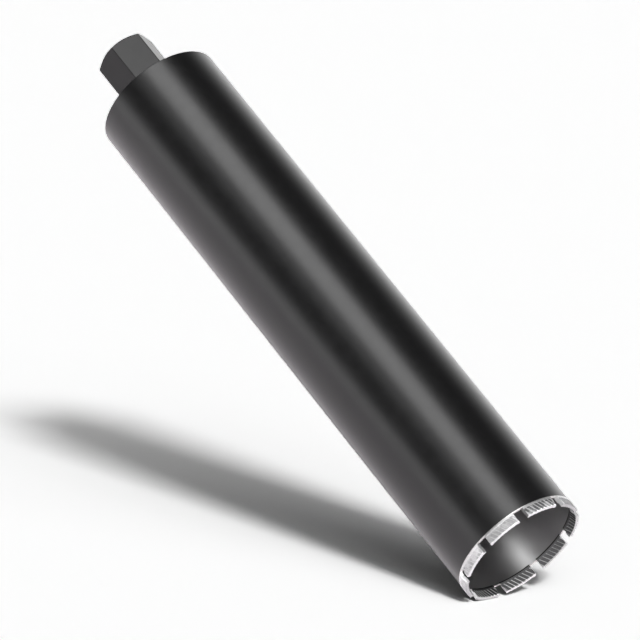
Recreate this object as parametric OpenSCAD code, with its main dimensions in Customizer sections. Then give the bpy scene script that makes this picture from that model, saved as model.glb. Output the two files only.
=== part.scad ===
// Diamond core bit for wet drilling: a ring of ribbed cutting segments brazed to the rim
// of a steel tube, whose far end is closed by a plate that carries a hexagonal threaded hub.
// The segments' cutting faces lie on z = 0 and the drilling axis runs up through the hub.

/* [Crown] */
// Diameter of the hole that the bit drills, over the segments' outer faces
crown_d = 92; // [84:1:110]
// Number of cutting segments
segment_count = 9; // [6:1:10]
// Length of a segment round the crown, measured straight across its outer face
segment_len = 24; // [16:1:27]
// Height of a segment above the tube's rim
segment_h = 7.5; // [6:0.5:12]
// Radial thickness of a segment
segment_t = 3; // [2.6:0.1:4.5]
// Plain foot of a segment, next to the rim, where the ribs stop
foot_h = 1.2; // [0.8:0.1:2.5]

/* [Ribs] */
// Flutes pressed into each long face of a segment, with a thin rib between each two
flute_count = 8; // [4:1:10]
// Distance from flute to flute along the face
flute_pitch = 3; // [2.8:0.1:3.4]
// Width of a flute at its mouth
flute_mouth = 2.3; // [1.4:0.1:2.4]
// Width of the flat at a flute's bottom
flute_floor = 1.7; // [0.6:0.1:1.9]
// Depth of a flute
flute_depth = 0.45; // [0.3:0.05:0.8]
// Lean of the flutes away from the drilling axis, to the left going up as one looks at a face
flute_lean = 27; // [0:1:35]

/* [Tube] */
// Length of the tube from rim to closed end
tube_len = 432.5; // [150:0.5:480]
// Wall of the tube
tube_wall = 2; // [1.5:0.1:2.5]
// Distance by which the segments stand out past the tube, so that it runs free in the hole
side_relief = 0.3; // [0.1:0.1:1]

/* [Back plate] */
// Thickness of the plate that closes the tube
plate_t = 8; // [6:0.5:14]
// Radial slip between the plate and the tube's bore
plate_slip = 0.1; // [0.05:0.05:0.3]
// Leg of the bevel round the plate, which the weld fills
plate_bevel = 2.5; // [1.5:0.5:4]
// Height by which a weld bead stands proud of the corner that it fills
bead_crown = 0.4; // [0.2:0.1:0.8]

/* [Hub] */
// Width of the hexagon across its flats
hub_af = 38; // [36:1:46]
// Distance by which the hub stands out of the closed end
hub_len = 46.5; // [30:0.5:70]
// Turn of the hexagon against the first segment, as it happened to be welded
hub_turn = 31; // [0:1:59]
// Tapping bore of the 1 1/4 inch female thread
thread_bore_d = 28.2; // [24:0.2:29]
// Diameter of the lead-in countersink at the thread's mouth
mouth_d = 33; // [31:0.5:34]
// Diameter of the flat end face that the turned chamfer leaves on the hexagon
end_face_d = 36.4; // [35:0.2:37]
// Slope of the turned chamfers on the hexagon's two ends
hex_chamfer = 30; // [20:1:45]
// Height of the turned neck between the plate and the hexagon
neck_h = 4; // [3:0.5:8]
// Distance by which the turned neck lies inside the hexagon's flats
neck_step = 0.75; // [0.5:0.25:2]
// Width of the shoulder on which the neck sits on the plate
shoulder = 1; // [0.5:0.25:2]
// Radial slip between the hub's spigot and the hole in the plate
spigot_slip = 0.1; // [0.05:0.05:0.3]
// Leg of the fillet weld round the neck
hub_weld_leg = 3; // [2:0.5:4]

/* [Hidden] */
$fn = 96;

// Overshoot of a cutter past the skin that it opens
over = 1;
bead_steps = 8;

crown_r = crown_d / 2;
crown_core_r = crown_r - segment_t;
tube_r = crown_r - side_relief;
bore_r = tube_r - tube_wall;
rim_z = segment_h;
top_z = rim_z + tube_len;

plate_r = bore_r - plate_slip;
plate_z = top_z - plate_t;

neck_r = hub_af / 2 - neck_step;
spigot_r = neck_r - shoulder;
hex_r = hub_af / 2 / cos(30);
end_face_r = end_face_d / 2;
hub_top_z = top_z + hub_len;
chamfer_h = (hex_r + over - end_face_r) * tan(hex_chamfer);
thread_bore_r = thread_bore_d / 2;
mouth_depth = (mouth_d - thread_bore_d) / 2;

// The tube, open at the rim
module barrel() {
    color("#26272a")
    translate([0, 0, rim_z])
    difference() {
        cylinder(r = tube_r, h = tube_len);
        translate([0, 0, -over]) cylinder(r = bore_r, h = tube_len + 2 * over);
    }
}

// The turned disc inside the closed end, bevelled round its outer edge for the weld
module back_plate() {
    color("#33343a")
    difference() {
        rotate_extrude()
        polygon([
            [0, plate_z],
            [plate_r, plate_z],
            [plate_r, top_z - plate_bevel],
            [plate_r - plate_bevel, top_z],
            [0, top_z]
        ]);
        translate([0, 0, plate_z - over])
        cylinder(r = spigot_r + spigot_slip, h = plate_t + 2 * over);
    }
}

// Points of a bead's face from one toe to the other, bulging towards the side given
function bead_face(from, to, side) = [
    for (n = [0 : bead_steps])
    let (
        t = n / bead_steps,
        run = to - from,
        out = side * [-run[1], run[0]] / norm(run),
        bulge = bead_crown * (1 - pow(2 * t - 1, 2))
    )
    from + t * run + bulge * out
];

// The weld that fills the bevel between the plate and the tube's bore
module plate_weld() {
    color("#2c2d30")
    rotate_extrude()
    polygon(concat(
        [[plate_r, top_z - plate_bevel], [bore_r, top_z - plate_bevel]],
        bead_face([bore_r, top_z], [plate_r - plate_bevel, top_z], -1)
    ));
}

// Outline of the hub's turned ends, which round off the hexagon's corners
module turned_outline() {
    rotate_extrude()
    polygon([
        [0, plate_z],
        [spigot_r, plate_z],
        [spigot_r, top_z],
        [neck_r, top_z],
        [neck_r, top_z + neck_h],
        [hex_r + over, top_z + neck_h + (hex_r + over - neck_r) * tan(hex_chamfer)],
        [hex_r + over, hub_top_z - chamfer_h],
        [end_face_r, hub_top_z],
        [0, hub_top_z]
    ]);
}

// Outline of the threaded passage through the hub, bored to the tapping size
module hub_passage() {
    rotate_extrude()
    polygon([
        [0, plate_z - over],
        [thread_bore_r, plate_z - over],
        [thread_bore_r, hub_top_z - mouth_depth],
        [thread_bore_r + mouth_depth + over, hub_top_z + over],
        [0, hub_top_z + over]
    ]);
}

// The hexagonal hub, with a turned neck and a spigot through the plate
module hub() {
    color("#303134")
    difference() {
        intersection() {
            turned_outline();
            rotate([0, 0, hub_turn])
            translate([0, 0, plate_z - over])
            cylinder(r = hex_r, h = plate_t + hub_len + 2 * over, $fn = 6);
        }
        hub_passage();
    }
}

// The fillet weld round the hub's neck
module hub_weld() {
    color("#2c2d30")
    rotate_extrude()
    polygon(concat(
        [[neck_r, top_z]],
        bead_face([neck_r + hub_weld_leg, top_z], [neck_r, top_z + hub_weld_leg], -1)
    ));
}

// A pressed block of the crown, before its flutes
module segment_blank() {
    intersection() {
        difference() {
            cylinder(r = crown_r, h = segment_h);
            translate([0, 0, -over]) cylinder(r = crown_core_r, h = segment_h + 2 * over);
        }
        translate([0, -segment_len / 2, -over])
        cube([crown_r + over, segment_len, segment_h + 2 * over]);
    }
}

// The flutes of one long face: side is 1 on the outer face and -1 on the inner one
module flutes(face_r, side) {
    flute_len = (segment_h - foot_h) / cos(flute_lean);
    half_mouth = flute_mouth / 2;
    half_floor = flute_floor / 2;
    half_flare = half_mouth + (half_mouth - half_floor) * over / flute_depth;
    for (n = [0 : flute_count - 1]) {
        place = (n - (flute_count - 1) / 2) * flute_pitch + side * tan(flute_lean) * segment_h / 2;
        rotate([0, 0, place / face_r * 180 / PI])
        translate([face_r, 0, 0])
        rotate([side * flute_lean, 0, 0])
        translate([0, 0, -2 * over])
        linear_extrude(height = flute_len + 2 * over)
        polygon([
            [-side * flute_depth, -half_floor],
            [-side * flute_depth, half_floor],
            [side * over, half_flare],
            [side * over, -half_flare]
        ]);
    }
}

// A cutting segment, ribbed on both long faces and brazed by its foot to the rim
module segment(number) {
    color("#b9bbc0")
    rotate([0, 0, (number - 1) * 360 / segment_count])
    difference() {
        segment_blank();
        flutes(crown_r, 1);
        flutes(crown_core_r, -1);
    }
}

barrel();
back_plate();
plate_weld();
hub();
hub_weld();
for (i = [1 : segment_count]) {
    segment(i);
}
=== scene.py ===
import math

import bmesh
import bpy
from mathutils import Matrix, Quaternion, Vector


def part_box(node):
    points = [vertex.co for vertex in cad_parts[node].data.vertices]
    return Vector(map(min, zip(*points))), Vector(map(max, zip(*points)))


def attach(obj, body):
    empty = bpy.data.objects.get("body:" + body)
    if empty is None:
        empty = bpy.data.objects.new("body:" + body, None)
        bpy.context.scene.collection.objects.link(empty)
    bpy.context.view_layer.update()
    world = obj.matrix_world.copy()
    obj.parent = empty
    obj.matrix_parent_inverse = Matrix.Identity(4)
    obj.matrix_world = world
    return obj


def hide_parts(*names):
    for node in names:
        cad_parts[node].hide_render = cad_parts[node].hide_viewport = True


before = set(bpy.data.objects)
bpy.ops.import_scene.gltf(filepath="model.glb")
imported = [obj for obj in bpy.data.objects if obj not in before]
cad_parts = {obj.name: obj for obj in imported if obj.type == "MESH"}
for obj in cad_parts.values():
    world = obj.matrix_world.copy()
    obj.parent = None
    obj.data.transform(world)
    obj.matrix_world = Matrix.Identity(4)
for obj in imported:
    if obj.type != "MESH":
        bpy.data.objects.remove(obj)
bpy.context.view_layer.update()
MM = 0.001

# Barrel
# A drawn steel tube with a 2 mm wall. Its outside is sprayed black, its bore is left bare, and its
# rim is ground square for the segments; the heat of brazing has burnt the paint off a narrow band.
TUBE_WALL = 2 * MM
TUBE_COLUMNS = 256
RIM_BREAK = 0.12 * MM
END_ROUND = 0.6 * MM
END_ROUND_STEPS = 4
BARE_BAND = 0.55 * MM
SMOOTH_UP_TO = math.radians(32)

# The enamel: its colours, its uneven sheen, and the bumps of orange peel and of the spray.
BLACK = (0.006, 0.0058, 0.0062)
BLACK_WORN = (0.009, 0.0088, 0.0092)
WORN_PATCH = 30 * MM
SHEEN_PATCH = 6 * MM
SHEEN_SPREAD = 0.015
PEEL_SIZE, PEEL_DEPTH = 2.2 * MM, 0.005 * MM
SPRAY_SIZE, SPRAY_DEPTH = 0.35 * MM, 0.002 * MM
ENAMEL_REFRACTION = 1.5
BARREL_SHEEN = 0.3

# The bore: fine rings, faint stains, and a band of painted shade behind the foot of each segment. The
# painted shade ends at a share of the way from one segment's middle to the next.
BORE_DARK = (0.27, 0.27, 0.27)
BORE_PALE = (0.34, 0.34, 0.34)
BORE_ROUGHNESS = 0.5
BORE_STREAK = 0.7
QUARTER_TURN = 0.25
RING_WIDTH = 0.25 * MM
RING_DEPTH = 0.02 * MM
RING_STRETCH = (80, 80, 1)
STAIN_SIZE = 25 * MM
STAIN_STRETCH = (1, 1, 2.5)
SEGMENTS = 9
STEP_SHADE = (0.03, 0.028, 0.026)
STEP_SHADE_ROUGHNESS = 0.75
STEP_SHADE_TOP = (0.9 * MM, 1.3 * MM)
STEP_SHADE_END = (0.39, 0.42)

# Ground or cut steel: its colour on the rim, the shade of its patches, and its scratches.
RIM_STEEL = (0.62, 0.61, 0.6)
STEEL_PATCH = 3 * MM
STEEL_SHADE = 0.85
STEEL_ROUGHNESS = (0.24, 0.4)
SCRATCH_WIDTH = 0.12 * MM
SCRATCH_DEPTH = 0.006 * MM
SCRATCH_STRETCH = (6, 1, 1)

# Nearly all of a noise lies between these two values.
NOISE_RANGE = (0.3, 0.7)


def add_node(tree, kind, values, **settings):
    """A node with its settings made and its inputs linked or set, by their names or places."""
    node = tree.nodes.new(kind)
    for setting, value in settings.items():
        setattr(node, setting, value)
    for key, value in values.items():
        if isinstance(value, bpy.types.NodeSocket):
            tree.links.new(value, node.inputs[key])
        else:
            node.inputs[key].default_value = value
    return node


def calc(tree, operation, *values):
    """The result of a math node on numbers or sockets."""
    return add_node(tree, "ShaderNodeMath", dict(enumerate(values)), operation=operation).outputs[0]


def calc_vector(tree, operation, *values):
    """The result of a vector math node on vectors or sockets."""
    node = add_node(tree, "ShaderNodeVectorMath", dict(enumerate(values)), operation=operation)
    return node.outputs["Value" if operation in ("LENGTH", "DOT_PRODUCT") else "Vector"]


def scaled(tree, vector, factor):
    """A vector or a colour times a number."""
    node = add_node(tree, "ShaderNodeVectorMath", {0: vector, "Scale": factor}, operation="SCALE")
    return node.outputs["Vector"]


def vector_of(tree, x, y, z):
    """A vector made of three numbers or sockets."""
    return add_node(tree, "ShaderNodeCombineXYZ", {0: x, 1: y, 2: z}).outputs[0]


def numbers_of(tree, vector):
    """The three numbers of a vector."""
    return add_node(tree, "ShaderNodeSeparateXYZ", {0: vector}).outputs


def object_place(tree):
    """The place of a point on its piece, in the piece's own coordinates."""
    return tree.nodes.new("ShaderNodeTexCoord").outputs["Object"]


def ramp(tree, value, low, high, to_low, to_high, smooth=True):
    """A value carried from one range to another, and held at its ends."""
    steps = {0: value, 1: low, 2: high, 3: to_low, 4: to_high}
    kind = "SMOOTHSTEP" if smooth else "LINEAR"
    return add_node(tree, "ShaderNodeMapRange", steps, interpolation_type=kind).outputs[0]


def grain(tree, size, stretch=(1, 1, 1), detail=2.0, place=None):
    """Noise with grains of a real size in metres, drawn out along an axis by stretch."""
    if place is None:
        place = object_place(tree)
    in_grains = calc_vector(tree, "DIVIDE", place, tuple(size * s for s in stretch))
    noise = add_node(
        tree, "ShaderNodeTexNoise", {"Vector": in_grains, "Scale": 1.0, "Detail": detail})
    return noise.outputs[0]


def blend(tree, share, first, second):
    """The mix of two colours by a share."""
    mixed = {0: share, 6: (*first, 1), 7: (*second, 1)}
    return add_node(tree, "ShaderNodeMix", mixed, data_type="RGBA").outputs[2]


def bump(tree, height, depth, under=None):
    """The normal over a height field whose full range is depth metres."""
    values = {"Height": height, "Distance": depth, "Strength": 1.0}
    if under is not None:
        values["Normal"] = under
    return add_node(tree, "ShaderNodeBump", values).outputs[0]


def turns_round(tree, numbers):
    """The share of a turn about the axis at which a point lies."""
    return calc(tree, "DIVIDE", calc(tree, "ARCTAN2", numbers[1], numbers[0]), math.tau)


def new_finish(name, **constants):
    """A material with one surface shader, whose constant inputs are set by name."""
    material = bpy.data.materials.new(name)
    material.use_nodes = True
    shader = material.node_tree.nodes["Principled BSDF"]
    for key, value in constants.items():
        shader.inputs[key.replace("_", " ")].default_value = value
    return material, material.node_tree, shader


def cover(tree, shader, values):
    """Links the fields of a finish to its surface shader."""
    for key, value in values.items():
        tree.links.new(value, shader.inputs[key])


def black_enamel(name, sheen, refraction=ENAMEL_REFRACTION):
    """Semi-gloss black enamel: faint orange peel, uneven sheen and a little wear."""
    material, tree, shader = new_finish(name, IOR=refraction)
    worn = grain(tree, WORN_PATCH, detail=3.0)
    peel = bump(tree, grain(tree, PEEL_SIZE), PEEL_DEPTH)
    cover(tree, shader, {
        "Base Color": blend(tree, worn, BLACK, BLACK_WORN),
        "Roughness": ramp(
            tree, grain(tree, SHEEN_PATCH), *NOISE_RANGE, sheen - SHEEN_SPREAD, sheen + SHEEN_SPREAD),
        "Normal": bump(tree, grain(tree, SPRAY_SIZE, detail=1.0), SPRAY_DEPTH, peel),
    })
    return material


def bored_steel():
    """Bare steel with fine rings round it, and painted shade behind the foot of each segment."""
    material, tree, shader = new_finish(
        "bored_steel", Metallic=1.0, Anisotropic=BORE_STREAK, Anisotropic_Rotation=QUARTER_TURN)
    numbers = numbers_of(tree, object_place(tree))
    stains = grain(tree, STAIN_SIZE, stretch=STAIN_STRETCH, detail=4.0)
    shade_low, shade_high = (rim_z + height for height in STEP_SHADE_TOP)
    near_rim = ramp(tree, numbers[2], shade_low, shade_high, 1.0, 0.0)
    pitches = calc(tree, "MULTIPLY", turns_round(tree, numbers), float(SEGMENTS))
    from_middle = calc(tree, "PINGPONG", pitches, 0.5)
    # Painted shade: a dark band on the bore just above the rim, behind each segment's foot.
    step_shaded = calc(tree, "MULTIPLY", near_rim, ramp(tree, from_middle, *STEP_SHADE_END, 1.0, 0.0))
    clean = blend(tree, stains, BORE_DARK, BORE_PALE)
    with_step_shade = add_node(
        tree, "ShaderNodeMix", {0: step_shaded, 6: clean, 7: (*STEP_SHADE, 1)}, data_type="RGBA")
    cover(tree, shader, {
        "Base Color": with_step_shade.outputs[2],
        "Roughness": ramp(tree, step_shaded, 0.0, 1.0, BORE_ROUGHNESS, STEP_SHADE_ROUGHNESS),
        "Normal": bump(tree, grain(tree, RING_WIDTH, stretch=RING_STRETCH), RING_DEPTH),
    })
    return material


def ground_steel(name, colour):
    """Bright steel, ground or cut, with fine scratches."""
    material, tree, shader = new_finish(name, Metallic=1.0)
    scratches = grain(tree, SCRATCH_WIDTH, stretch=SCRATCH_STRETCH, detail=3.0)
    shaded = [STEEL_SHADE * part for part in colour]
    cover(tree, shader, {
        "Base Color": blend(tree, grain(tree, STEEL_PATCH, detail=3.0), shaded, colour),
        "Roughness": ramp(tree, scratches, *NOISE_RANGE, *STEEL_ROUGHNESS),
        "Normal": bump(tree, scratches, SCRATCH_DEPTH),
    })
    return material


def turn(name, outline, columns, finishes):
    """A turned piece: a closed outline of (radius, height, finish of the strip that follows)."""
    mesh = bmesh.new()
    rows = []
    for radius, height, _ in outline:
        row = []
        for column in range(columns):
            angle = math.tau * column / columns
            row.append(mesh.verts.new((radius * math.cos(angle), radius * math.sin(angle), height)))
        rows.append(row)
    for number, (_, _, finish) in enumerate(outline):
        near, far = rows[number], rows[(number + 1) % len(rows)]
        for column in range(columns):
            after = (column + 1) % columns
            face = mesh.faces.new((near[column], near[after], far[after], far[column]))
            face.material_index = finish
    return as_piece(name, mesh, finishes)


def as_piece(name, mesh, finishes):
    """The finished object of a bmesh, facing outwards and smooth but for its sharp edges."""
    bmesh.ops.recalc_face_normals(mesh, faces=mesh.faces)
    data = bpy.data.meshes.new(name)
    mesh.to_mesh(data)
    mesh.free()
    for finish in finishes:
        data.materials.append(finish)
    data.shade_smooth()
    data.set_sharp_from_angle(angle=SMOOTH_UP_TO)
    piece = bpy.data.objects.new(name, data)
    bpy.context.scene.collection.objects.link(piece)
    return piece


barrel_low, barrel_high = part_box("barrel")
rim_z, top_z = barrel_low.z, barrel_high.z
tube_r = barrel_high.x
bore_r = tube_r - TUBE_WALL
PAINT, BORE, RIM = range(3)

end_round = []
for step in range(END_ROUND_STEPS + 1):
    swing = math.pi / 2 * step / END_ROUND_STEPS
    end_round.append((
        tube_r - END_ROUND * (1 - math.cos(swing)),
        top_z - END_ROUND * (1 - math.sin(swing)),
        PAINT,
    ))
barrel = turn("barrel_tube", [
    (bore_r, rim_z + RIM_BREAK, RIM),
    (bore_r + RIM_BREAK, rim_z, RIM),
    (tube_r - RIM_BREAK, rim_z, RIM),
    (tube_r, rim_z + RIM_BREAK, RIM),
    (tube_r, rim_z + BARE_BAND, PAINT),
    *end_round,
    (bore_r, top_z, BORE),
], TUBE_COLUMNS, [
    black_enamel("barrel_enamel", BARREL_SHEEN),
    bored_steel(),
    ground_steel("rim_steel", RIM_STEEL),
])
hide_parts("barrel")
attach(barrel, "root")

# Back plate
# A disc turned from steel plate, which slips into the closed end of the tube. Its outer edge is
# bevelled for the weld, its outside is painted with the rest, and its inside stays bare.
PLATE_BREAK = 0.4 * MM
PLATE_COLUMNS = 192
HUB_HOLE_R = 17.35 * MM
PLATE_BEVEL = 2.5 * MM
PLATE_STEEL = (0.5, 0.49, 0.48)
PLATE_SHEEN = 0.34
TURNING_FEED = 0.35 * MM
TURNING_DEPTH = 0.012 * MM
TURNING_DEPTH_PAINTED = 0.006 * MM
TURNING_WOBBLE = 0.6
WOBBLE_SIZE = 4 * MM


def turned(material, depth):
    """Adds the fine rings that a lathe tool leaves on a face to a material's surface."""
    tree = material.node_tree
    normal = tree.nodes["Principled BSDF"].inputs["Normal"]
    across = calc_vector(tree, "LENGTH", calc_vector(tree, "MULTIPLY", object_place(tree), (1, 1, 0)))
    wobble = calc(tree, "MULTIPLY", grain(tree, WOBBLE_SIZE), TURNING_WOBBLE)
    passes = calc(tree, "ADD", calc(tree, "DIVIDE", across, TURNING_FEED), wobble)
    rings = calc(tree, "SINE", calc(tree, "MULTIPLY", passes, math.tau))
    tree.links.new(bump(tree, rings, depth, normal.links[0].from_socket), normal)
    return material


plate_low, plate_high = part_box("back_plate")
plate_r = plate_high.x
plate_z = plate_low.z
PAINTED, BARE = range(2)
back_plate = turn("back_plate_disc", [
    (HUB_HOLE_R, plate_z + PLATE_BREAK, BARE),
    (HUB_HOLE_R + PLATE_BREAK, plate_z, BARE),
    (plate_r - PLATE_BREAK, plate_z, BARE),
    (plate_r, plate_z + PLATE_BREAK, BARE),
    (plate_r, top_z - PLATE_BEVEL, PAINTED),
    (plate_r - PLATE_BEVEL, top_z, PAINTED),
    (HUB_HOLE_R, top_z, BARE),
], PLATE_COLUMNS, [
    turned(black_enamel("plate_enamel", PLATE_SHEEN), TURNING_DEPTH_PAINTED),
    turned(ground_steel("plate_steel", PLATE_STEEL), TURNING_DEPTH),
])
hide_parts("back_plate")
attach(back_plate, "root")

# Welds
# Two beads of weld metal, painted over: one fills the bevel between plate and tube, the other is a
# fillet round the hub's neck. Each is a row of overlapping crescents, as the torch left them.
BEAD_FACE_STEPS = 10
BEAD_CROWN = 0.4 * MM
RIPPLE_STEP = 1.6 * MM
RIPPLE_HEIGHT = 0.16 * MM
RIPPLE_COLUMNS = 9
RIPPLE_WANDER = 5 * MM
RIPPLE_SHARPNESS = 2.0
RIPPLE_MIDDLE = 0.4
CRESCENT_BOW = -0.7
NECK_R = 18.25 * MM
HUB_WELD_LEG = 3 * MM
WELD_SHEEN = 0.28


def new_recipe(name, sizes):
    """A tree of geometry nodes with one named input for each size, and its group input."""
    tree = bpy.data.node_groups.new(name, "GeometryNodeTree")
    tree.interface.new_socket("Geometry", in_out="INPUT", socket_type="NodeSocketGeometry")
    tree.interface.new_socket("Geometry", in_out="OUTPUT", socket_type="NodeSocketGeometry")
    for size, value in sizes.items():
        kind = "NodeSocketInt" if isinstance(value, int) else "NodeSocketFloat"
        tree.interface.new_socket(size, in_out="INPUT", socket_type=kind).default_value = value
    return tree, tree.nodes.new("NodeGroupInput").outputs


def add_step(tree, kind, **inputs):
    """The result of a geometry node whose inputs are linked or set by name."""
    values = {key.replace("_", " "): value for key, value in inputs.items()}
    return add_node(tree, "GeometryNode" + kind, values).outputs[0]


def finish_recipe(tree, geometry, material=None):
    """Ends a tree: gives the whole result its material and makes its instances real."""
    if material is not None:
        geometry = add_step(tree, "SetMaterial", Geometry=geometry, Material=material)
    whole = add_step(tree, "RealizeInstances", Geometry=geometry)
    add_node(tree, "NodeGroupOutput", {"Geometry": whole})


def follow_recipe(piece, tree, sizes):
    """Runs a tree on a piece with these sizes, and keeps the result as its plain mesh."""
    modifier = piece.modifiers.new("recipe", "NODES")
    modifier.node_group = tree
    for item in tree.interface.items_tree:
        if item.in_out == "INPUT" and item.name in sizes:
            modifier[item.identifier] = sizes[item.name]
    keep_result(piece)


def keep_result(piece):
    """Replaces a piece's mesh with what its modifiers make of it, and removes them."""
    state = bpy.context.evaluated_depsgraph_get()
    mesh = bpy.data.meshes.new_from_object(
        piece.evaluated_get(state), preserve_all_data_layers=True, depsgraph=state)
    piece.modifiers.clear()
    old = piece.data
    piece.data = mesh
    bpy.data.meshes.remove(old)


def where(tree):
    """The position field, and its three numbers."""
    place = tree.nodes.new("GeometryNodeInputPosition").outputs[0]
    return place, numbers_of(tree, place)


# The crown attribute is 0 at the bead's toes and root, and 1 along the top of its face.
ripple_sizes = {"Ripples": 100, "Ripple height": RIPPLE_HEIGHT, "Seed": 1}
ripple_tree, sizes_in = new_recipe("weld_ripples", ripple_sizes)
tree = ripple_tree
place, numbers = where(tree)
crown_share = add_node(
    tree, "GeometryNodeInputNamedAttribute", {"Name": "crown"}, data_type="FLOAT").outputs[0]
wander = calc(tree, "ADD", grain(tree, RIPPLE_WANDER, place=place), sizes_in["Seed"])
bow = calc(tree, "MULTIPLY", calc(tree, "SUBTRACT", 1.0, crown_share), CRESCENT_BOW)
along = calc(tree, "MULTIPLY", turns_round(tree, numbers), sizes_in["Ripples"])
crescent = calc(tree, "FRACT", calc(tree, "ADD", calc(tree, "ADD", along, bow), wander))
swell = calc(tree, "POWER", crescent, RIPPLE_SHARPNESS)
rise = calc(tree, "MULTIPLY", calc(tree, "SUBTRACT", RIPPLE_MIDDLE, swell), sizes_in["Ripple height"])
normal = tree.nodes.new("GeometryNodeInputNormal").outputs[0]
lift = scaled(tree, normal, calc(tree, "MULTIPLY", rise, crown_share))
finish_recipe(tree, add_step(
    tree, "SetPosition", Geometry=sizes_in["Geometry"], Offset=lift))


def weld_bead(name, node, root, toe, other_toe, seed):
    """A ring of weld: its root points, then a bulging face from toe to other_toe."""
    face, shares = [], []
    run = Vector(other_toe) - Vector(toe)
    out = Vector((run.y, -run.x)).normalized()
    for step in range(BEAD_FACE_STEPS + 1):
        share = step / BEAD_FACE_STEPS
        bulge = 1 - (2 * share - 1) ** 2
        point = Vector(toe) + share * run + BEAD_CROWN * bulge * out
        face.append((point.x, point.y, 0))
        shares.append(bulge)
    ripples = round(math.tau * toe[0] / RIPPLE_STEP)
    columns = ripples * RIPPLE_COLUMNS
    bead = turn(name, [(*point, 0) for point in root] + face, columns, [weld_paint])
    crowned = bead.data.attributes.new("crown", "FLOAT", "POINT")
    rows = [0.0] * len(root) + shares
    crowned.data.foreach_set("value", [share for share in rows for _ in range(columns)])
    follow_recipe(bead, ripple_tree, {**ripple_sizes, "Ripples": ripples, "Seed": seed})
    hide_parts(node)
    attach(bead, "root")


weld_paint = black_enamel("weld_enamel", WELD_SHEEN)
weld_bead(
    "plate_weld_bead", "plate_weld",
    [(plate_r, top_z - PLATE_BEVEL), (bore_r, top_z - PLATE_BEVEL)],
    (bore_r, top_z), (plate_r - PLATE_BEVEL, top_z), seed=3,
)
weld_bead(
    "hub_weld_bead", "hub_weld", [(NECK_R, top_z)],
    (NECK_R + HUB_WELD_LEG, top_z), (NECK_R, top_z + HUB_WELD_LEG), seed=5,
)

# Hub
# Hexagonal bar, turned to a neck and a spigot at one end and chamfered at the other, then drilled
# through and tapped 1 1/4 inch, 7 to the inch, for the drill's spindle. The thread is left bare.
HUB_AF = 38 * MM
HUB_TURN = math.radians(31)
SPIGOT_R = 17.25 * MM
NECK_H = 4 * MM
END_FACE_R = 18.2 * MM
HEX_CHAMFER = math.radians(30)
HEX_ROUND = 0.5 * MM
HEX_ROUND_STEPS = 3
HEX_SIDES = 6
COLUMNS_PER_FLAT = 24
TAP_R = 14.1 * MM
MOUTH_R = 16.5 * MM
THREAD_MAJOR_R = 15.875 * MM
THREAD_PITCH = 25.4 * MM / 7
THREAD_LEN = 40 * MM
ROWS_PER_PITCH = 16
HUB_SHEEN = 0.3
HUB_REFRACTION = 1.4
THREAD_STEEL = (0.52, 0.51, 0.5)

hub_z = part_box("hub")[1].z
hub_columns = HEX_SIDES * COLUMNS_PER_FLAT
hex_reach = []
for column in range(hub_columns):
    from_flat = math.tau / HEX_SIDES * (column % COLUMNS_PER_FLAT / COLUMNS_PER_FLAT - 0.5)
    hex_reach.append(HUB_AF / 2 / math.cos(from_flat))


def ring_of(radius, height):
    """A row of the hub at one radius and height."""
    return [(radius, height)] * hub_columns


def hex_row(foot_r, foot_z, way):
    """The row where the cone of a turned chamfer meets the flats of the hexagon."""
    return [(reach, foot_z + way * (reach - foot_r) * math.tan(HEX_CHAMFER)) for reach in hex_reach]


def rings_down(radius, height, depth, narrowing=0.0):
    """Rows of the hub's bore, close enough together for the thread, down from a height."""
    return [
        ring_of(radius - narrowing * step * row_rise, height - step * row_rise)
        for step in range(int(depth / row_rise) + 1)
    ]


mouth_z = hub_z - (MOUTH_R - TAP_R)
thread_end_z = hub_z - THREAD_LEN
row_rise = THREAD_PITCH / ROWS_PER_PITCH
hub_rows = [
    ring_of(TAP_R, plate_z),
    ring_of(SPIGOT_R, plate_z),
    ring_of(SPIGOT_R, top_z),
    ring_of(NECK_R, top_z),
    ring_of(NECK_R, top_z + NECK_H),
    hex_row(NECK_R, top_z + NECK_H, 1),
    hex_row(END_FACE_R, hub_z, -1),
    ring_of(END_FACE_R, hub_z),
    *rings_down(MOUTH_R, hub_z, MOUTH_R - TAP_R, narrowing=1.0),
    *rings_down(TAP_R, mouth_z, mouth_z - thread_end_z),
]

# The rows whose edges are rounded over, the two between which the flats run, and the first of the
# bare thread, all counted from the first of hub_rows.
ROUNDED_ROWS = (4, 5, 6, 7)
FLATS_FROM, FLATS_TO = 5, 6
FIRST_MOUTH_ROW = 8

hub_mesh = bmesh.new()
weights = hub_mesh.edges.layers.float.new("bevel_weight_edge")
hub_verts = []
for row in hub_rows:
    hub_verts.append([])
    for column, (radius, height) in enumerate(row):
        swung = Matrix.Rotation(HUB_TURN + math.tau * column / hub_columns, 3, "Z")
        hub_verts[-1].append(hub_mesh.verts.new(swung @ Vector((radius, 0, height))))
for number, near in enumerate(hub_verts):
    far = hub_verts[(number + 1) % len(hub_verts)]
    for column in range(hub_columns):
        after = (column + 1) % hub_columns
        face = hub_mesh.faces.new((near[column], near[after], far[after], far[column]))
        face.material_index = BARE if number >= FIRST_MOUTH_ROW or number == 0 else PAINTED
hub_mesh.edges.ensure_lookup_table()
for number in ROUNDED_ROWS:
    for column in range(hub_columns):
        after = hub_verts[number][(column + 1) % hub_columns]
        hub_mesh.edges.get((hub_verts[number][column], after))[weights] = 1.0
for corner in range(0, hub_columns, COLUMNS_PER_FLAT):
    hub_mesh.edges.get((hub_verts[FLATS_FROM][corner], hub_verts[FLATS_TO][corner]))[weights] = 1.0

hub = as_piece("hub_body", hub_mesh, [
    black_enamel("hub_enamel", HUB_SHEEN, HUB_REFRACTION),
    ground_steel("thread_steel", THREAD_STEEL),
])
rounding = hub.modifiers.new("rounded_edges", "BEVEL")
rounding.limit_method = "WEIGHT"
rounding.width = HEX_ROUND
rounding.segments = HEX_ROUND_STEPS
keep_result(hub)

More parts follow.
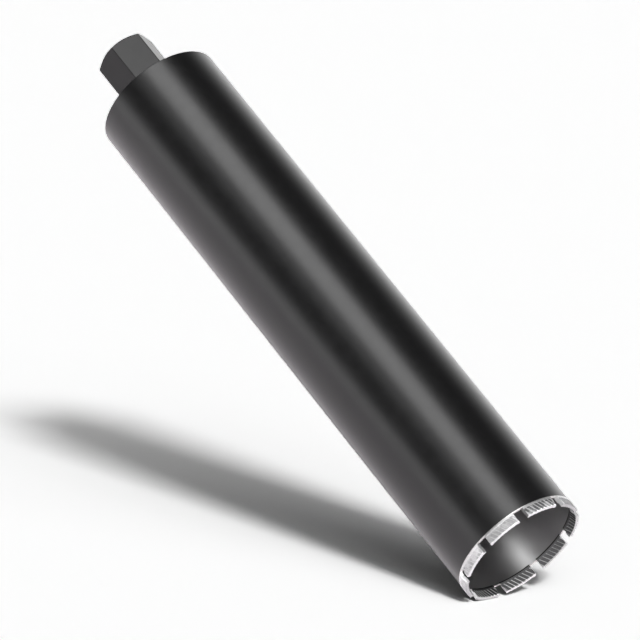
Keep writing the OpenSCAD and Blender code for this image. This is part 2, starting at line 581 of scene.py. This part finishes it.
# The thread's groove is flat for an eighth of the pitch at its root, and its flanks end where a
# quarter of the pitch is left. It is cut into the wall near the tapping bore, below the mouth.
ROOT_FLAT, FLANK_END = 0.125, 0.75
CUT_REACH = 1.2
MOUTH_MARGIN = 0.01 * MM
thread_sizes = {
    "Tap radius": TAP_R,
    "Depth": THREAD_MAJOR_R - TAP_R,
    "Pitch": THREAD_PITCH,
    "Lower end": thread_end_z,
    "Mouth": hub_z,
}
thread_tree, sizes_in = new_recipe("cut_thread", thread_sizes)
tree = thread_tree
place, numbers = where(tree)
flat_place = calc_vector(tree, "MULTIPLY", place, (1, 1, 0))
radius_now = calc_vector(tree, "LENGTH", flat_place)
climb = calc(tree, "DIVIDE", numbers[2], sizes_in["Pitch"])
phase = calc(tree, "FRACT", calc(tree, "SUBTRACT", climb, turns_round(tree, numbers)))
from_groove = calc(tree, "ABSOLUTE", calc(tree, "MULTIPLY_ADD", phase, 2.0, -1.0))
groove = ramp(tree, from_groove, ROOT_FLAT, FLANK_END, 1.0, 0.0, smooth=False)
run_out = calc(tree, "ADD", sizes_in["Lower end"], sizes_in["Pitch"])
fade = ramp(tree, numbers[2], sizes_in["Lower end"], run_out, 0.0, 1.0)
cut = calc(tree, "MULTIPLY", calc(tree, "MULTIPLY", groove, fade), sizes_in["Depth"])
radius_cut = calc(tree, "MAXIMUM", radius_now, calc(tree, "ADD", sizes_in["Tap radius"], cut))
growth = calc(tree, "SUBTRACT", calc(tree, "DIVIDE", radius_cut, radius_now), 1.0)
reach = calc(tree, "MULTIPLY", sizes_in["Depth"], CUT_REACH)
near_wall = calc(tree, "LESS_THAN", radius_now, calc(tree, "ADD", sizes_in["Tap radius"], reach))
below_mouth = calc(
    tree, "LESS_THAN", numbers[2], calc(tree, "SUBTRACT", sizes_in["Mouth"], MOUTH_MARGIN))
finish_recipe(tree, add_step(
    tree, "SetPosition", Geometry=sizes_in["Geometry"],
    Selection=calc(tree, "MULTIPLY", near_wall, below_mouth),
    Offset=scaled(tree, flat_place, growth)))
follow_recipe(hub, thread_tree, thread_sizes)
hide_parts("hub")
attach(hub, "root")

# Cutting segments
# Nine blocks of metal powder and diamond grit, pressed in a die that gives both long faces their
# leaning flutes, then sintered. Each stands on a plain foot, brazed to the rim of the tube.
SEGMENT_T = 3 * MM
FLUTE_COUNT = 8
segment_sizes = {
    "Turn": 0.0,
    "Outer radius": 46 * MM,
    "Length": 24 * MM,
    "Flute pitch": 3 * MM,
    "Flute mouth": 2.3 * MM,
    "Flute floor": 1.7 * MM,
    "Flute depth": 0.45 * MM,
    "Lean": math.radians(27),
    "Foot": 1.2 * MM,
    "Worn edge": 0.12 * MM,
    "Grain depth": 0.02 * MM,
    "Grit size": 0.2 * MM,
    "End dressing and light": 0.9,
    "Sides dressing and light": 0.8,
    "Flute shade": 0.25,
    "Inside undressed and shade": 1.0,
    "Seed": 1,
}
CELL = 0.15 * MM
FLUTE_FADE = 0.5 * MM
SKIN_GRAIN = 0.7 * MM
SKIN_SINK = 0.8
SEGMENT_CREASE = math.radians(50)

# How bright the end and the sides of each of the nine segments are, where 1 is fully bright, and how
# dark their outer
# flutes and their inner faces are: the dressing wheel's level, with painted light and shade set segment
# by segment on top.
ENDS_DRESSING_AND_LIGHT = (0.62, 0.8, 0.76, 1.0, 0.72, 0.6, 1.0, 1.0, 1.0)
SIDES_DRESSING_AND_LIGHT = (0.9, 0.84, 0.86, 0.8, 0.7, 1.0, 0.86, 0.52, 0.48)
SHADE_IN_OUTER_FLUTES = (0.2, 0.3, 0.3, 0.3, 0.3, 0.1, 0.25, 0.12, 0.45)
UNDRESSED_AND_SHADE_INSIDE = (1.0, 1.0, 1.0, 1.1, 1.4, 1.4, 1.0, 1.0, 1.0)
END_BAND = (0.45 * MM, 0.85 * MM)
OUTER_SKIN = (0.93, 0.97)
INNER_SKIN = (0.03, 0.07)
RIB_TOP = (0.0, 0.4)
PATCH_SIZE = 5 * MM
PATCH_RANGE = (0.4, 0.6)
PATCH_SHADE = (0.3, 1.6)

# The finish: how grey, bright and smooth the metal is for its level of dressing, with painted light and
# shade mixed in.
SINTER_DARK = (0.1, 0.1, 0.102)
SINTER_PALE = (0.8, 0.8, 0.805)
FINE_SIZE, FINE_DEPTH = 0.3 * MM, 0.006 * MM
MOTTLE_SIZE, MOTTLE_SHARE = 1.6 * MM, 0.4
PALE_RANGE = (0.2, 1.2)
DEEP_SHADE_RANGE, DEEP_SHADE_LEVEL = (-0.6, -0.2), 0.3
GLOSS_LEVEL = 0.5
BARE_RANGE, BARE_METAL = (0.2, 0.6), (0.1, 0.65)
POLISHED_RANGE, POLISHED_METAL = (0.75, 0.95), (0.0, 0.25)
DRESSED_ROUGHNESS = (0.75, 0.44)
FINE_SMOOTHING = -0.1

# The grit: crystals a square metre, sunk into the metal by a share of their size.
GRIT_ON_END = 1.1e6
GRIT_ON_SIDES = 0.3e6
GRIT_EDGE = (0.1 * MM, 0.3 * MM)
GRIT_SINK = -0.8
GRIT_SCALE = (0.5, 1.1)
GRIT_PATCH = 0.8 * MM
GRIT_DARK = (0.34, 0.34, 0.24)
GRIT_PALE = (0.62, 0.62, 0.5)
GRIT_ROUGHNESS = 0.18
DIAMOND_REFRACTION = 2.4


def sintered_metal():
    """Pressed metal powder: matt and dark as sintered, pale where the dressing wheel cut it, and darker
    with painted shade.
    """
    material, tree, shader = new_finish("sintered_metal")
    # The level of dressing, with painted light and shade mixed in.
    dressing_and_light = tree.nodes.new("ShaderNodeAttribute")
    dressing_and_light.attribute_name = "dressing_and_light"
    dressing_and_light = dressing_and_light.outputs["Fac"]
    fine = grain(tree, FINE_SIZE, detail=3.0)
    coarse = grain(tree, MOTTLE_SIZE, detail=3.0)
    mottle = calc(tree, "MULTIPLY_ADD", coarse, 0.5, calc(tree, "MULTIPLY", fine, 0.5))
    mottled = calc(tree, "MULTIPLY_ADD", mottle, MOTTLE_SHARE, dressing_and_light)
    pale = ramp(tree, mottled, *PALE_RANGE, 0.0, 1.0, smooth=False)
    # Painted shade: where the level falls below zero, the colour and the gloss are darkened further.
    out_of_deep_shade = ramp(tree, dressing_and_light, *DEEP_SHADE_RANGE, DEEP_SHADE_LEVEL, 1.0, smooth=False)
    bare = ramp(tree, dressing_and_light, *BARE_RANGE, *BARE_METAL)
    polished = ramp(tree, dressing_and_light, *POLISHED_RANGE, *POLISHED_METAL)
    smoothed = ramp(tree, dressing_and_light, *BARE_RANGE, *DRESSED_ROUGHNESS)
    cover(tree, shader, {
        "Base Color": scaled(tree, blend(tree, pale, SINTER_DARK, SINTER_PALE), out_of_deep_shade),
        "Specular IOR Level": calc(tree, "MULTIPLY", out_of_deep_shade, GLOSS_LEVEL),
        "Metallic": calc(tree, "ADD", bare, polished),
        "Roughness": calc(tree, "MULTIPLY_ADD", fine, FINE_SMOOTHING, smoothed),
        "Normal": bump(tree, fine, FINE_DEPTH),
    })
    return material


def diamond_grit():
    """Crystals of synthetic diamond, greenish yellow and bright, standing out of the metal."""
    material, tree, shader = new_finish(
        "diamond_grit", Roughness=GRIT_ROUGHNESS, IOR=DIAMOND_REFRACTION)
    cover(tree, shader, {
        "Base Color": blend(tree, grain(tree, GRIT_PATCH), GRIT_DARK, GRIT_PALE),
    })
    return material


segment_low, segment_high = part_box("segment_1")
segment_h = segment_high.z - segment_low.z

tree, sizes_in = new_recipe("pressed_segment", segment_sizes)
block = vector_of(tree, SEGMENT_T, sizes_in["Length"], segment_h)
cube = add_step(
    tree, "MeshCube", Size=block,
    Vertices_X=round(SEGMENT_T / CELL) + 1,
    Vertices_Y=round(segment_sizes["Length"] / CELL) + 1,
    Vertices_Z=round(segment_h / CELL) + 1,
)

# The block's edges are rounded first: what lies past the inner box is drawn onto a round.
place, _ = where(tree)
edge = vector_of(tree, *[sizes_in["Worn edge"]] * 3)
inner_box = calc_vector(tree, "SUBTRACT", scaled(tree, block, 0.5), edge)
reach = calc_vector(tree, "ABSOLUTE", place)
held = calc_vector(tree, "MINIMUM", reach, inner_box)
past = calc_vector(tree, "SUBTRACT", reach, held)
pull = calc(tree, "DIVIDE", sizes_in["Worn edge"], calc_vector(tree, "LENGTH", past))
corner = calc_vector(tree, "ADD", held, scaled(tree, past, pull))
rounded = calc_vector(tree, "MULTIPLY", calc_vector(tree, "SIGN", place), corner)
blank = add_step(tree, "SetPosition", Geometry=cube, Position=rounded)

# The straight block is bent onto the ring, and the die's ribs press the flutes into both faces.
place, numbers = where(tree)
seeded = calc_vector(tree, "ADD", place, vector_of(tree, sizes_in["Seed"], 0.0, 0.0))
across = calc(tree, "MULTIPLY_ADD", numbers[0], 1 / SEGMENT_T, 0.5)
height = calc(tree, "ADD", numbers[2], segment_h / 2)
above_foot = calc(tree, "SUBTRACT", segment_h, sizes_in["Foot"])
ribbed = ramp(tree, height, calc(tree, "SUBTRACT", above_foot, FLUTE_FADE), above_foot, 1.0, 0.0)
slope = calc(tree, "TANGENT", sizes_in["Lean"])
squeeze = calc(tree, "COSINE", sizes_in["Lean"])
half_floor = calc(tree, "MULTIPLY", sizes_in["Flute floor"], 0.5)
half_mouth = calc(tree, "MULTIPLY", sizes_in["Flute mouth"], 0.5)


def face_of(ring_radius, side):
    """How far out one long face lies with its flutes pressed in, and how deep in one a point is."""
    shift = calc(tree, "MULTIPLY", calc(tree, "MULTIPLY", numbers[2], slope), float(side))
    phase = calc(tree, "DIVIDE", calc(tree, "ADD", numbers[1], shift), sizes_in["Flute pitch"])
    from_axis = calc(tree, "ABSOLUTE", calc(tree, "SUBTRACT", calc(tree, "FRACT", phase), 0.5))
    gap = calc(tree, "MULTIPLY", calc(tree, "MULTIPLY", from_axis, sizes_in["Flute pitch"]), squeeze)
    pressed = ramp(tree, gap, half_floor, half_mouth, 1.0, 0.0)
    within = calc(tree, "LESS_THAN", calc(tree, "ABSOLUTE", phase), FLUTE_COUNT / 2)
    share = calc(tree, "MULTIPLY", calc(tree, "MULTIPLY", pressed, ribbed), within)
    depth = calc(tree, "MULTIPLY", share, sizes_in["Flute depth"])
    squared = calc(tree, "SUBTRACT", calc(tree, "POWER", ring_radius, 2.0), calc(
        tree, "POWER", numbers[1], 2.0))
    return calc(tree, "MULTIPLY_ADD", depth, -float(side), calc(tree, "SQRT", squared)), share


outer, outer_share = face_of(sizes_in["Outer radius"], 1)
inner, inner_share = face_of(calc(tree, "SUBTRACT", sizes_in["Outer radius"], SEGMENT_T), -1)
thickness = calc(tree, "SUBTRACT", outer, inner)
bent = vector_of(
    tree, calc(tree, "MULTIPLY_ADD", thickness, across, inner), numbers[1], height)

# The crown is ground on the dressing wheel outside and on its end, and inside on the ribs alone.
# Painted shade darkens its outer flutes, in patches, and adds to the darkness of its undressed inner
# faces.
outside = ramp(tree, across, *OUTER_SKIN, 0.0, 1.0)
inside = ramp(tree, across, *INNER_SKIN, 1.0, 0.0)
off_end = ramp(tree, height, *END_BAND, 0.0, 1.0)
# Painted shade in the outer flutes, in random patches, darker on some segments than others.
patches = ramp(tree, grain(tree, PATCH_SIZE, place=seeded), *PATCH_RANGE, *PATCH_SHADE)
shade_in_flutes = calc(tree, "MULTIPLY", outer_share, calc(tree, "MULTIPLY", patches, sizes_in["Flute shade"]))
flute_shade_outside = calc(tree, "MULTIPLY", outside, shade_in_flutes)
bare_ribs = calc(tree, "MULTIPLY", ramp(tree, inner_share, *RIB_TOP, 1.0, 0.0), ribbed)
off_ribs = calc(tree, "MULTIPLY", inside, calc(tree, "SUBTRACT", 1.0, bare_ribs))
# Painted shade on the inner faces off the ribs, deeper on some segments than others.
undressed_and_shade_inside = calc(tree, "MULTIPLY", off_ribs, sizes_in["Inside undressed and shade"])
undressed_and_shade = calc(tree, "MULTIPLY", off_end, calc(tree, "MAXIMUM", flute_shade_outside, undressed_and_shade_inside))
# Painted light and shade: the end and side levels differ segment by segment with how each is lit.
wheel_and_light = ramp(tree, height, *END_BAND, sizes_in["End dressing and light"], sizes_in["Sides dressing and light"])
marked = add_node(tree, "GeometryNodeStoreNamedAttribute", {
    "Geometry": blank,
    "Name": "dressing_and_light",
    "Value": calc(tree, "SUBTRACT", wheel_and_light, undressed_and_shade),
}, data_type="FLOAT")
pressed_block = add_step(tree, "SetPosition", Geometry=marked.outputs[0], Position=bent)

# Sintering leaves the skin grainy.
place, numbers = where(tree)
rough = calc(tree, "SUBTRACT", grain(tree, SKIN_GRAIN, detail=3.0, place=seeded), SKIN_SINK)
normal = tree.nodes.new("GeometryNodeInputNormal").outputs[0]
skin = scaled(tree, normal, calc(tree, "MULTIPLY", rough, sizes_in["Grain depth"]))
body = add_step(tree, "SetPosition", Geometry=pressed_block, Offset=skin)

# Grit stands out on the cutting face, and here and there on the sides.
density = ramp(tree, numbers[2], *GRIT_EDGE, GRIT_ON_END, GRIT_ON_SIDES, smooth=False)
scatter = add_node(tree, "GeometryNodeDistributePointsOnFaces", {
    "Mesh": body, "Density": density, "Seed": sizes_in["Seed"],
}).outputs
sink = scaled(
    tree, scatter["Normal"], calc(tree, "MULTIPLY", sizes_in["Grit size"], GRIT_SINK))
settled = add_step(tree, "SetPosition", Geometry=scatter["Points"], Offset=sink)
crystal = add_step(tree, "MeshIcoSphere", Radius=sizes_in["Grit size"], Subdivisions=1)


def random_vector(low, high):
    """A random vector for each crystal, with each number between two values."""
    limits = {"Min": (low,) * 3, "Max": (high,) * 3, "Seed": sizes_in["Seed"]}
    return add_node(tree, "FunctionNodeRandomValue", limits, data_type="FLOAT_VECTOR").outputs[0]


crystals = add_step(
    tree, "InstanceOnPoints", Points=settled, Instance=crystal,
    Rotation=random_vector(0.0, math.tau), Scale=random_vector(*GRIT_SCALE))
join = tree.nodes.new("GeometryNodeJoinGeometry")
for part, material in ((crystals, diamond_grit()), (body, sintered_metal())):
    finished = add_step(tree, "SetMaterial", Geometry=part, Material=material)
    tree.links.new(finished, join.inputs[0])
finish_recipe(tree, add_step(
    tree, "Transform", Geometry=join.outputs[0],
    Rotation=vector_of(tree, 0.0, 0.0, sizes_in["Turn"])))

for number in range(1, SEGMENTS + 1):
    segment = as_piece(f"cutting_segment_{number}", bmesh.new(), [])
    follow_recipe(segment, tree, {
        **segment_sizes,
        "Turn": math.tau * (number - 1) / SEGMENTS,
        "End dressing and light": ENDS_DRESSING_AND_LIGHT[number - 1],
        "Sides dressing and light": SIDES_DRESSING_AND_LIGHT[number - 1],
        "Flute shade": SHADE_IN_OUTER_FLUTES[number - 1],
        "Inside undressed and shade": UNDRESSED_AND_SHADE_INSIDE[number - 1],
        "Seed": number,
    })
    segment.data.shade_smooth()
    segment.data.set_sharp_from_angle(angle=SEGMENT_CREASE)
    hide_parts(f"segment_{number}")
    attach(segment, "root")

# Braze
# Silver solder that ran out of the joint under each segment when it was heated, and froze as a
# small uneven fillet round the outside and both ends of the foot.
BRAZE_ARC_STEPS = 16
BRAZE_SIDES = 8
BRAZE_DARK = (0.46, 0.455, 0.445)
BRAZE_PALE = (0.66, 0.655, 0.645)
BRAZE_PATCH = 1.2 * MM
BRAZE_SHEEN_PATCH = 0.8 * MM
BRAZE_ROUGHNESS = (0.25, 0.45)
BRAZE_BUMP, BRAZE_BUMP_DEPTH = 0.5 * MM, 0.02 * MM
BRAZE_DRIFT = 2 * MM
BRAZE_SWELLING_SIZE = 3 * MM
BRAZE_SWELLING = (0.6, 1.3)
braze_sizes = {"Bead radius": 0.26 * MM, "Wander": 0.12 * MM, "Step": 0.3 * MM}

seam_mesh = bmesh.new()
half_len = segment_sizes["Length"] / 2
spread = math.asin(half_len / tube_r)
for number in range(SEGMENTS):
    place_turn = Matrix.Rotation(math.tau * number / SEGMENTS, 3, "Z")
    outline = [(bore_r, -half_len, rim_z)]
    for step in range(BRAZE_ARC_STEPS + 1):
        angle = spread * (2 * step / BRAZE_ARC_STEPS - 1)
        outline.append((tube_r * math.cos(angle), tube_r * math.sin(angle), rim_z))
    outline.append((bore_r, half_len, rim_z))
    seam = [seam_mesh.verts.new(place_turn @ Vector(point)) for point in outline]
    for near, far in zip(seam, seam[1:]):
        seam_mesh.edges.new((near, far))

silver_braze, tree, shader = new_finish("silver_braze", Metallic=1.0)
cover(tree, shader, {
    "Base Color": blend(tree, grain(tree, BRAZE_PATCH, detail=3.0), BRAZE_DARK, BRAZE_PALE),
    "Roughness": ramp(tree, grain(tree, BRAZE_SHEEN_PATCH), *NOISE_RANGE, *BRAZE_ROUGHNESS),
    "Normal": bump(tree, grain(tree, BRAZE_BUMP), BRAZE_BUMP_DEPTH),
})

braze_tree, sizes_in = new_recipe("braze_fillet", braze_sizes)
tree = braze_tree
path = add_step(tree, "MeshToCurve", Mesh=sizes_in["Geometry"])
resampled = add_node(tree, "GeometryNodeResampleCurve", {
    "Curve": path, "Length": sizes_in["Step"],
}, mode="LENGTH")
place, _ = where(tree)
drift = add_node(tree, "ShaderNodeTexNoise", {"Vector": place, "Scale": 1 / BRAZE_DRIFT, "Detail": 2.0})
centred = calc_vector(tree, "SUBTRACT", drift.outputs["Color"], (0.5, 0.5, 0.5))
line = add_step(
    tree, "SetPosition", Geometry=resampled.outputs[0],
    Offset=scaled(tree, centred, sizes_in["Wander"]))
swelling = ramp(
    tree, grain(tree, BRAZE_SWELLING_SIZE, place=place), *NOISE_RANGE, *BRAZE_SWELLING)
line = add_step(tree, "SetCurveRadius", Curve=line, Radius=swelling)
bead_round = add_step(
    tree, "CurvePrimitiveCircle", Resolution=BRAZE_SIDES, Radius=sizes_in["Bead radius"])
fillet = add_step(tree, "CurveToMesh", Curve=line, Profile_Curve=bead_round, Fill_Caps=True)
finish_recipe(tree, fillet, silver_braze)
braze = as_piece("braze_fillets", seam_mesh, [])
follow_recipe(braze, braze_tree, braze_sizes)
braze.data.shade_smooth()
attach(braze, "root")

# Camera
# A long lens, a few metres off: it looks up at the crown end from the side, turned so that the
# floor under the tilted bit runs level in the picture.
AIM = Vector((-0.0087, -0.0018, 0.2271))
CAMERA_DISTANCE = 3.397
CAMERA_SIDE = math.radians(-78.45)
CAMERA_RISE = math.radians(26.22)
CAMERA_ROLL = math.radians(38.59)
CAMERA_LENS = 280.3
SENSOR_WIDTH = 36
CLIP_END = 50

look = Vector((
    -math.cos(CAMERA_SIDE) * math.cos(CAMERA_RISE),
    -math.sin(CAMERA_SIDE) * math.cos(CAMERA_RISE),
    math.sin(CAMERA_RISE),
))
camera_data = bpy.data.cameras.new("camera")
camera_data.lens = CAMERA_LENS
camera_data.sensor_width = SENSOR_WIDTH
camera_data.clip_end = CLIP_END
camera = bpy.data.objects.new("camera", camera_data)
camera.rotation_mode = "QUATERNION"
camera.rotation_quaternion = look.to_track_quat("-Z", "Y") @ Quaternion((0, 0, 1), -CAMERA_ROLL)
camera.location = AIM - CAMERA_DISTANCE * look
bpy.context.scene.collection.objects.link(camera)
bpy.context.scene.camera = camera
bpy.context.scene.view_settings.view_transform = "Standard"

# Studio
# The bit stands tilted on the lower edge of its crown, on a white floor that is level for the
# camera. Each light is placed by what the camera sees as right, up and away.
CAMERA_PITCH = math.radians(6.2)

# The bright patch that bare steel would throw on the floor is left out.
bpy.context.scene.cycles.caustics_reflective = False
turned_by = camera.rotation_quaternion.to_matrix()
right = turned_by @ Vector((1, 0, 0))
up = math.cos(CAMERA_PITCH) * (turned_by @ Vector((0, 1, 0))) - math.sin(CAMERA_PITCH) * look
away = up.cross(right)


def towards(side, rise, depth):
    """A direction in the part's frame, from its studio parts to the right, up and away."""
    return (side * right + rise * up + depth * away).normalized()


# The floor is white to the camera, grey to the light that it sends back onto the bit, and a
# little warm and bright in the enamel's gloss. From below it isn't there.
FLOOR_REACH = 30
FLOOR_GAP = 0.05 * MM
FLOOR_GAIN = 2.31
FLOOR_SHEEN_GAIN = 2.85
FLOOR_GREY = 0.85
FLOOR_TINT = (1.0, 0.95, 0.985)
WHITE = (1, 1, 1)

lowest = -up
lowest.z = 0
contact = Vector((0, 0, segment_low.z)) + lowest.normalized() * segment_sizes["Outer radius"]
floor_mesh = bpy.data.meshes.new("floor")
floor_mesh.from_pydata([
    contact - FLOOR_GAP * up + FLOOR_REACH * (side * right + depth * away)
    for side, depth in ((-1, -1), (1, -1), (1, 1), (-1, 1))
], [], [(0, 1, 2, 3)])
floor = bpy.data.objects.new("floor", floor_mesh)
bpy.context.scene.collection.objects.link(floor)

floor_material = bpy.data.materials.new("white_floor")
floor_material.use_nodes = True
tree = floor_material.node_tree
tree.nodes.clear()
rays = tree.nodes.new("ShaderNodeLightPath").outputs
seen = calc(tree, "MAXIMUM", rays["Is Camera Ray"], rays["Is Transmission Ray"])
shade = calc(tree, "MULTIPLY_ADD", seen, FLOOR_GAIN - FLOOR_GREY, FLOOR_GREY)
shade = calc(tree, "MULTIPLY_ADD", rays["Is Glossy Ray"], FLOOR_SHEEN_GAIN - FLOOR_GREY, shade)
tint = blend(tree, rays["Is Glossy Ray"], WHITE, FLOOR_TINT)
paint = add_node(tree, "ShaderNodeBsdfDiffuse", {"Color": scaled(tree, tint, shade)})
clear = tree.nodes.new("ShaderNodeBsdfTransparent")
one_sided = add_node(tree, "ShaderNodeMixShader", {
    0: tree.nodes.new("ShaderNodeNewGeometry").outputs["Backfacing"],
    1: paint.outputs[0],
    2: clear.outputs[0],
})
add_node(tree, "ShaderNodeOutputMaterial", {"Surface": one_sided.outputs[0]})
floor_mesh.materials.append(floor_material)

# The backdrop is white to the camera. What the enamel mirrors is a dark studio with a glowing wall
# on either side, and each pair of values is where a wall's edge starts and ends.
BACKDROP_WHITE = 0.98
AMBIENT = 0.02
DARK_STUDIO = 0.02
RIGHT_GLOW = 2.35
RIGHT_EDGE = (-0.05, 0.15)
RIGHT_TOP = (0.09, 0.84)
RIGHT_HUB_END = (-0.15, 0.2)
RIGHT_BACK, RIGHT_BACK_SHARE = (0.6, 1.0), 0.7
LEFT_GLOW = 2.0
LEFT_EDGE = (-0.5, -0.3)
LEFT_TOP = (0.17, 0.25)
LEFT_BACK = (0.2, 0.4)

world = bpy.data.worlds.new("studio")
bpy.context.scene.world = world
world.use_nodes = True
tree = world.node_tree
rays = tree.nodes.new("ShaderNodeLightPath").outputs
sky = tree.nodes.new("ShaderNodeTexCoord").outputs["Generated"]
sky_up = calc_vector(tree, "DOT_PRODUCT", sky, tuple(up))
sky_right = calc_vector(tree, "DOT_PRODUCT", sky, tuple(right))
sky_away = calc_vector(tree, "DOT_PRODUCT", sky, tuple(away))
hub_side = calc_vector(tree, "DOT_PRODUCT", sky, (0, 0, 1))


def wall_within(*edges):
    """The share of a wall's glow that is left inside all of its edges."""
    wall = edges[0]
    for edge in edges[1:]:
        wall = calc(tree, "MULTIPLY", wall, edge)
    return wall


right_wall = wall_within(
    ramp(tree, sky_right, *RIGHT_EDGE, 0.0, 1.0),
    ramp(tree, sky_up, *RIGHT_TOP, 1.0, 0.0),
    ramp(tree, hub_side, *RIGHT_HUB_END, 0.0, 1.0),
    ramp(tree, sky_away, *RIGHT_BACK, 1.0, RIGHT_BACK_SHARE),
)
left_wall = wall_within(
    ramp(tree, sky_right, *LEFT_EDGE, 1.0, 0.0),
    ramp(tree, sky_up, *LEFT_TOP, 1.0, 0.0),
    ramp(tree, sky_away, *LEFT_BACK, 1.0, 0.0),
)
glow = calc(tree, "MULTIPLY_ADD", left_wall, LEFT_GLOW, DARK_STUDIO)
glow = calc(tree, "MULTIPLY_ADD", right_wall, RIGHT_GLOW, glow)
level = calc(tree, "MULTIPLY_ADD", rays["Is Camera Ray"], BACKDROP_WHITE - AMBIENT, AMBIENT)
mirrored = calc(tree, "MAXIMUM", rays["Is Glossy Ray"], rays["Is Transmission Ray"])
level = calc(tree, "MULTIPLY_ADD", mirrored, calc(tree, "SUBTRACT", glow, AMBIENT), level)
background = tree.nodes["Background"]
background.inputs["Color"].default_value = (*WHITE, 1)
tree.links.new(level, background.inputs["Strength"])

# The key is three suns one behind the other, from small and strong to wide and weak, which make
# the shadow's soft edge. The front sun is seen in the gloss alone.
KEY_TOWARDS = towards(0.134, 0.407, -0.904)
KEY_PARTS = ((6, 0.64), (22, 0.22), (50, 0.14))
FRONT_TOWARDS = towards(-0.03, 0.25, -0.97)
FRONT_GLOSS = 0.95
FRONT_SPREAD = 16


def add_sun(name, direction, spread, strength):
    """A distant lamp whose disc is spread degrees wide, and its strength on a white surface."""
    lamp = bpy.data.lights.new(name, "SUN")
    lamp.energy = strength * math.pi
    lamp.angle = math.radians(spread)
    sun = bpy.data.objects.new(name, lamp)
    sun.rotation_mode = "QUATERNION"
    sun.rotation_quaternion = direction.to_track_quat("Z", "Y")
    bpy.context.scene.collection.objects.link(sun)
    return sun


for number, (spread, share) in enumerate(KEY_PARTS):
    add_sun(f"key_{number}", KEY_TOWARDS, spread, share).visible_glossy = False
add_sun("front_gloss", FRONT_TOWARDS, FRONT_SPREAD, FRONT_GLOSS).visible_diffuse = False

# Two soft panels lie along the bit and are seen in its gloss alone: the stripe down the tube, and
# the faint glow on both sides of it.
PANEL_DISTANCE = 1.6
STRIPE = {"turn_degrees": 28, "width": 0.78, "length": 2.2, "radiance": 3.4}
STRIPE_SPILL = {"turn_degrees": 23, "width": 1.6, "length": 2.4, "radiance": 0.68}


def mirrored_from(turn_degrees):
    """The direction that the tube mirrors to the camera, at an angle round its axis."""
    towards_camera = -look
    square_on = Vector((towards_camera.x, towards_camera.y, 0)).normalized()
    swung = Matrix.Rotation(math.radians(turn_degrees), 3, "Z") @ square_on
    rise = -towards_camera.z
    return (math.sqrt(1 - rise * rise) * swung + Vector((0, 0, rise))).normalized()


def soft_panel(name, turn_degrees, width, length, radiance):
    """A long softbox beside the bit, laid along its axis, which only its gloss sees."""
    facing = mirrored_from(turn_degrees)
    light = bpy.data.lights.new(name, "AREA")
    light.shape = "RECTANGLE"
    light.size = width
    light.size_y = length
    light.energy = radiance * math.pi * width * length
    panel = bpy.data.objects.new(name, light)
    panel.location = Vector((0, 0, (rim_z + top_z) / 2)) + PANEL_DISTANCE * facing
    lengthwise = (Vector((0, 0, 1)) - facing * facing.z).normalized()
    sideways = lengthwise.cross(facing)
    panel.rotation_mode = "QUATERNION"
    panel.rotation_quaternion = Matrix((sideways, lengthwise, facing)).transposed().to_quaternion()
    panel.visible_camera = False
    panel.visible_diffuse = False
    panel.visible_shadow = False
    bpy.context.scene.collection.objects.link(panel)


soft_panel("top_panel", **STRIPE)
soft_panel("top_panel_spill", **STRIPE_SPILL)
